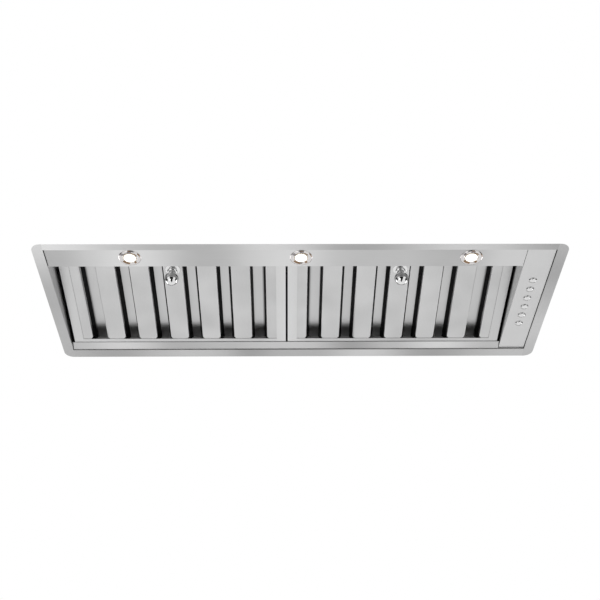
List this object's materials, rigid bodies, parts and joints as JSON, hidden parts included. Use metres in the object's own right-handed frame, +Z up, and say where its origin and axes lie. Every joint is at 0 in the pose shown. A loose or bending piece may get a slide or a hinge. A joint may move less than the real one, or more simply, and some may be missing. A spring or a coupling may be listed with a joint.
{
  "type": "range hood insert",
  "caption": "Built-in range hood insert: stainless flanged body with two tilting baffle filters, lit front strip, push-button panel, blower and round duct collar with flaps.",
  "frame": {"origin": "centre of the trim flange's underside, the lowest plane of the insert", "axes": "+X right, towards the push buttons; +Y rear; +Z up, into the cabinet"},
  "size_m": [1.18, 0.432, 0.348],
  "materials": {
    "stainless": "brushed",
    "galvanised": "satin zinc",
    "chrome": "polished",
    "lens": "frosted",
    "heat_sink": "cast",
    "spring_steel": "bright",
    "motor_paint": "satin black",
    "board_green": "gloss",
    "black_plastic": "matte",
    "white_plastic": "matte"
  },
  "bodies": {
    "hood_body": {"board_posts": "black_plastic", "button_bezels": "chrome", "button_board": "board_green", "button_switches": "black_plastic", "cable_gland": "black_plastic", "capacitor": "white_plastic", "collar_screws": "spring_steel", "control_panel": "stainless", "damper_pin": "spring_steel", "duct_collar": "galvanised", "filter_catches": "spring_steel", "front_panel": "stainless", "gland_nut": "black_plastic", "led_driver": "white_plastic", "left_side_panel": "stainless", "light_box": "stainless", "light_clips": "spring_steel", "light_engine_1": "heat_sink", "light_engine_2": "heat_sink", "light_engine_3": "heat_sink", "light_lens_1": "lens", "light_lens_2": "lens", "light_lens_3": "lens", "light_trim_1": "chrome", "light_trim_2": "chrome", "light_trim_3": "chrome", "motor": "motor_paint", "motor_bracket": "galvanised", "rear_panel": "stainless", "rear_strip": "stainless", "right_side_panel": "stainless", "scroll_left_plate": "galvanised", "scroll_right_plate": "galvanised", "scroll_wrapper": "galvanised", "side_screws": "spring_steel", "top_panel": "galvanised", "top_screws": "spring_steel", "wiring_box": "galvanised", "wiring_box_cover": "galvanised"},
    "left_filter": {"left_filter_frame": "stainless", "left_filter_lower_vanes": "stainless", "left_filter_upper_vanes": "stainless", "left_filter_knob": "chrome", "left_filter_knob_screw": "spring_steel"},
    "right_filter": {"right_filter_frame": "stainless", "right_filter_lower_vanes": "stainless", "right_filter_upper_vanes": "stainless", "right_filter_knob": "chrome", "right_filter_knob_screw": "spring_steel"},
    "fan_wheel": {"impeller": "galvanised", "impeller_shaft": "spring_steel"},
    "left_flap": {"left_damper_flap": "galvanised"},
    "right_flap": {"right_damper_flap": "galvanised"},
    "push_button_1": {"button_1": "chrome"},
    "push_button_2": {"button_2": "chrome"},
    "push_button_3": {"button_3": "chrome"},
    "push_button_4": {"button_4": "chrome"},
    "push_button_5": {"button_5": "chrome"},
    "push_button_6": {"button_6": "chrome"}
  },
  "joints": [
    {"name": "left_filter_swing", "type": "hinge", "parent": "hood_body", "child": "left_filter", "pos_m": [0, 0.1654, 0.0104], "axis": [1, 0, 0], "range_deg": [0, 60]},
    {"name": "right_filter_swing", "type": "hinge", "parent": "hood_body", "child": "right_filter", "pos_m": [0, 0.1654, 0.0104], "axis": [1, 0, 0], "range_deg": [0, 60]},
    {"name": "button_1_press", "type": "slide", "parent": "hood_body", "child": "push_button_1", "axis": [0, 0, 1], "range_m": [0, 0.0015], "stiffness_N_per_m": 600, "springref_m": -0.0015},
    {"name": "button_2_press", "type": "slide", "parent": "hood_body", "child": "push_button_2", "axis": [0, 0, 1], "range_m": [0, 0.0015], "stiffness_N_per_m": 600, "springref_m": -0.0015},
    {"name": "button_3_press", "type": "slide", "parent": "hood_body", "child": "push_button_3", "axis": [0, 0, 1], "range_m": [0, 0.0015], "stiffness_N_per_m": 600, "springref_m": -0.0015},
    {"name": "button_4_press", "type": "slide", "parent": "hood_body", "child": "push_button_4", "axis": [0, 0, 1], "range_m": [0, 0.0015], "stiffness_N_per_m": 600, "springref_m": -0.0015},
    {"name": "button_5_press", "type": "slide", "parent": "hood_body", "child": "push_button_5", "axis": [0, 0, 1], "range_m": [0, 0.0015], "stiffness_N_per_m": 600, "springref_m": -0.0015},
    {"name": "button_6_press", "type": "slide", "parent": "hood_body", "child": "push_button_6", "axis": [0, 0, 1], "range_m": [0, 0.0015], "stiffness_N_per_m": 600, "springref_m": -0.0015},
    {"name": "impeller_spin", "type": "hinge", "parent": "hood_body", "child": "fan_wheel", "pos_m": [0, -0.045, 0.1898], "axis": [1, 0, 0], "continuous": true},
    {"name": "left_flap_swing", "type": "hinge", "parent": "hood_body", "child": "left_flap", "pos_m": [0, 0.03, 0.31], "axis": [0, 1, 0], "range_deg": [0, 75]},
    {"name": "right_flap_swing", "type": "hinge", "parent": "hood_body", "child": "right_flap", "pos_m": [0, 0.03, 0.31], "axis": [0, -1, 0], "range_deg": [0, 75]}
  ]
}
